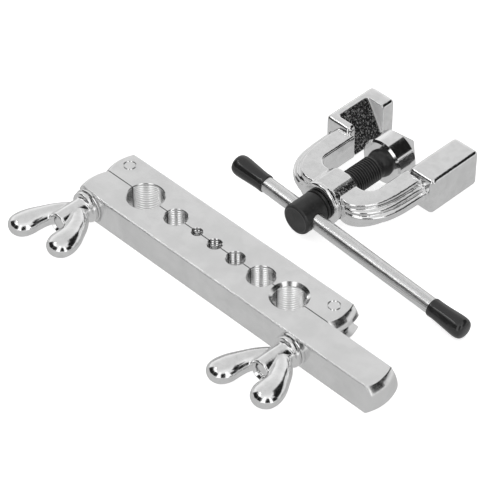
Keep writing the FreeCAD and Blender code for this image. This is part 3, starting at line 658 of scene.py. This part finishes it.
def make_wing_nut(node, body, material):
    """A wing nut in place of its CAD node."""
    obj = wing_nut_body(node + "_cast")
    tool = bore_tool()
    cut = obj.modifiers.new("bore", "BOOLEAN")
    cut.operation = "DIFFERENCE"
    cut.solver = "EXACT"
    cut.object = tool
    apply_modifiers(obj)
    bpy.data.objects.remove(tool)
    obj.data.transform(nut_placement(node))
    shade_smooth(obj.data)
    obj.data.set_sharp_from_angle(angle=math.radians(NUT_SHARP_DEG))
    paint(obj, material)
    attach(obj, body)
    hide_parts(node)


def nut_placement(node):
    """From the bolt axis frame (+Y ahead, away from the bar) to the row frame."""
    low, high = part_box(node.replace("wing_nut", "washer"))
    seat = Vector(((low[0] + high[0]) / 2, low[1] - NUT_SEAT_GAP * MM, (low[2] + high[2]) / 2))
    ahead = Matrix.Rotation(math.pi, 4, "Z")
    tilt = Matrix.Rotation(-math.radians(NUT_REST_DEG), 4, "Y")
    return Matrix.Translation(seat) @ tilt @ ahead


def make_cap(node, direction, material):
    """Dip-moulded end cap in place of its CAD node."""
    bm = bmesh.new()
    lathe(bm, CAP_OUTLINE, CAP_SEGMENTS)
    bmesh.ops.recalc_face_normals(bm, faces=bm.faces)
    obj = mesh_object(node + "_moulded", bm)
    rod = handle_axis()
    end = rod["left"] if direction < 0 else rod["right"]
    axis = rod["axis"] * direction
    turn = Vector((0, 1, 0)).rotation_difference(axis).to_matrix().to_4x4()
    obj.data.transform(Matrix.Translation(end) @ turn)
    subdivide = obj.modifiers.new("round", "SUBSURF")
    subdivide.levels = CAP_SUBDIVISIONS
    subdivide.render_levels = CAP_SUBDIVISIONS
    paint(obj, material)
    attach(obj, "handle")
    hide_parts(node)


def handle_axis():
    """Ends and direction of the bare handle rod, from the joint that slides it and the rod's box."""
    axis = None
    for joint in frame["record"]["behaviour"]["joints"]:
        if joint["name"] == "handle_slide":
            axis = Vector(joint["axis"]).normalized()
    low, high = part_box("handle_bar")
    middle = (Vector(low) + Vector(high)) / 2
    radius = (high[1] - low[1]) / 2
    length = (high[0] - low[0] - 2 * radius * abs(axis.z)) / axis.x
    return {"axis": axis, "left": middle - axis * length / 2, "right": middle + axis * length / 2}


# ---------------------------------------------------------------- studio

def camera_direction():
    """Unit vector from the camera's target towards the camera."""
    azimuth = math.radians(CAMERA_AZIMUTH)
    elevation = math.radians(CAMERA_ELEVATION)
    return Vector((math.sin(azimuth) * math.cos(elevation), -math.cos(azimuth) * math.cos(elevation),
                   math.sin(elevation)))


def make_camera():
    data = bpy.data.cameras.new("camera")
    data.lens = LENS_MM
    data.sensor_width = SENSOR_MM
    data.clip_start, data.clip_end = CAMERA_CLIP
    camera = bpy.data.objects.new("camera", data)
    bpy.context.scene.collection.objects.link(camera)
    back = camera_direction()
    camera.location = Vector(CAMERA_TARGET) + back * CAMERA_DISTANCE
    camera.rotation_euler = (-back).to_track_quat("-Z", "Y").to_euler()
    bpy.context.scene.camera = camera


def sector(nodes, bearing, start_deg, end_deg):
    """1 where the bearing (radians right of the camera's) lies between two angles, soft edged."""
    soft = math.radians(SECTOR_SOFT_DEG)
    start = math.radians(start_deg)
    end = math.radians(end_deg)
    after = nodes.ramp(bearing, start - soft, start + soft)
    before = nodes.ramp(bearing, end - soft, end + soft, 1.0, 0.0)
    return nodes.times(after, before)


def tent_light(nodes, direction):
    """Overhead tent: even at the top, brighter towards its shoulder, dimmer low down."""
    towards_top = nodes.dot(direction, tuple(Vector(TENT_AXIS).normalized()))
    start, end, gain = TENT_SHOULDER
    shoulder = nodes.ramp(towards_top, start, end, gain, 0.0)
    start, end, loss = TENT_SKIRT
    skirt = nodes.ramp(towards_top, start, end, loss, 0.0)
    return nodes.plus(nodes.math("SUBTRACT", shoulder, skirt), TENT_LEVEL)


def make_turntable():
    """Empty that keeps the studio turned with the camera, whichever side the tool is seen from."""
    turntable = bpy.data.objects.new("studio_turntable", None)
    bpy.context.scene.collection.objects.link(turntable)
    follow = turntable.constraints.new("COPY_ROTATION")
    follow.target = bpy.context.scene.camera
    follow.use_x = False
    follow.use_y = False
    return turntable


def make_studio():
    """World light: a tent over a room with dark parts, two softboxes and a narrow lamp."""
    world = bpy.data.worlds.new("studio")
    world.use_nodes = True
    bpy.context.scene.world = world
    nodes = Nodes(world.node_tree)
    output = nodes.add("ShaderNodeOutputWorld")
    background = nodes.add("ShaderNodeBackground")
    nodes.link(background.outputs[0], output.inputs["Surface"])
    direction = nodes.add("ShaderNodeTexCoord", object=make_turntable()).outputs["Object"]
    towards_camera = nodes.dot(direction, (0.0, -1.0, 0.0))
    right = nodes.dot(direction, (1.0, 0.0, 0.0))
    height = nodes.dot(direction, (0.0, 0.0, 1.0))
    bearing = nodes.math("ARCTAN2", right, towards_camera)
    level = tent_light(nodes, direction)
    for start, end, bottom, top in DARK_SECTORS:
        above = nodes.ramp(height, bottom - HEIGHT_SOFT, bottom + HEIGHT_SOFT)
        below = nodes.ramp(height, top - HEIGHT_SOFT, top + HEIGHT_SOFT, 1.0, 0.0)
        dark = nodes.times(sector(nodes, bearing, start, end), nodes.times(above, below))
        level = nodes.times(level, nodes.math("SUBTRACT", 1.0, dark))
    reach = nodes.ramp(height, *SOFTBOX_TOP, 1.0, 0.0)
    for start, end in SOFTBOXES_DEG:
        box = nodes.times(sector(nodes, bearing, start, end), reach)
        level = nodes.math("MAXIMUM", level, nodes.times(box, SOFTBOX_LEVEL))
    lamp = nodes.times(sector(nodes, bearing, *LAMP_DEG), nodes.between(height, *LAMP_HEIGHT))
    level = nodes.math("MAXIMUM", level, nodes.times(lamp, LAMP_LEVEL))
    level = nodes.math("MAXIMUM", level, DARKEST)
    nodes.link(nodes.grey(level), background.inputs["Color"])


def make_floor():
    """Pale floor: near white to the camera, mid grey where the plating mirrors it."""
    bm = bmesh.new()
    bmesh.ops.create_grid(bm, x_segments=1, y_segments=1, size=FLOOR_HALF)
    obj = mesh_object("floor", bm)
    obj.location.z = CAD_BOX[0][2] - FLOOR_DROP
    material = bpy.data.materials.new("floor")
    material.use_nodes = True
    nodes = Nodes(material.node_tree)
    output = nodes.add("ShaderNodeOutputMaterial")
    diffuse = nodes.add("ShaderNodeBsdfDiffuse")
    diffuse.inputs["Color"].default_value = (*FLOOR_TONE, 1.0)
    glow = nodes.add("ShaderNodeEmission")
    glow.inputs["Strength"].default_value = FLOOR_GLOW
    seen = nodes.add("ShaderNodeAddShader")
    nodes.link(diffuse.outputs[0], seen.inputs[0])
    nodes.link(glow.outputs[0], seen.inputs[1])
    mirrored = nodes.add("ShaderNodeEmission")
    mirrored.inputs["Color"].default_value = (*FLOOR_MIRRORED, 1.0)
    mix = nodes.add("ShaderNodeMixShader")
    nodes.link(nodes.add("ShaderNodeLightPath").outputs["Is Glossy Ray"], mix.inputs[0])
    nodes.link(seen.outputs[0], mix.inputs[1])
    nodes.link(mirrored.outputs[0], mix.inputs[2])
    nodes.link(mix.outputs[0], output.inputs["Surface"])
    paint(obj, material)


# ---------------------------------------------------------------- build

def dress_cad_nodes(turned, cast):
    """Give the CAD nodes their materials, also the two wing nuts that castings stand for."""
    milled = plated_milled()
    steel = bright_steel()
    looks = {
        "rear_bar": milled, "front_bar": milled, "left_pivot_pin": milled, "right_pivot_pin": milled,
        "locating_dowel": steel, "thrust_ball": steel, "cone_retaining_ring": steel,
        "left_swing_bolt": turned, "right_swing_bolt": turned, "left_washer": turned,
        "right_washer": turned, "flaring_cone": turned, "yoke": plated_yoke(),
        "forcing_screw": black_oxide(), "handle_bar": satin_rod(),
    }
    for node, material in looks.items():
        paint(frame["nodes"][node], material)
    for node in ("left_wing_nut", "right_wing_nut"):
        paint(frame["nodes"][node], cast)
    soften_casting(frame["nodes"]["yoke"], YOKE_VOXEL, YOKE_SMOOTH_STEPS)


def main():
    turned = plated_turned()
    cast = plated_nut()
    vinyl = black_vinyl()
    dress_cad_nodes(turned, cast)
    make_wing_nut("left_wing_nut", "left_nut", cast)
    make_wing_nut("right_wing_nut", "right_nut", cast)
    for node, direction in (("handle_cap_left", -1), ("handle_cap_right", 1)):
        paint(frame["nodes"][node], vinyl)
        make_cap(node, direction, vinyl)
    make_camera()
    make_studio()
    make_floor()
    bpy.context.scene.view_settings.view_transform = "Standard"


main()
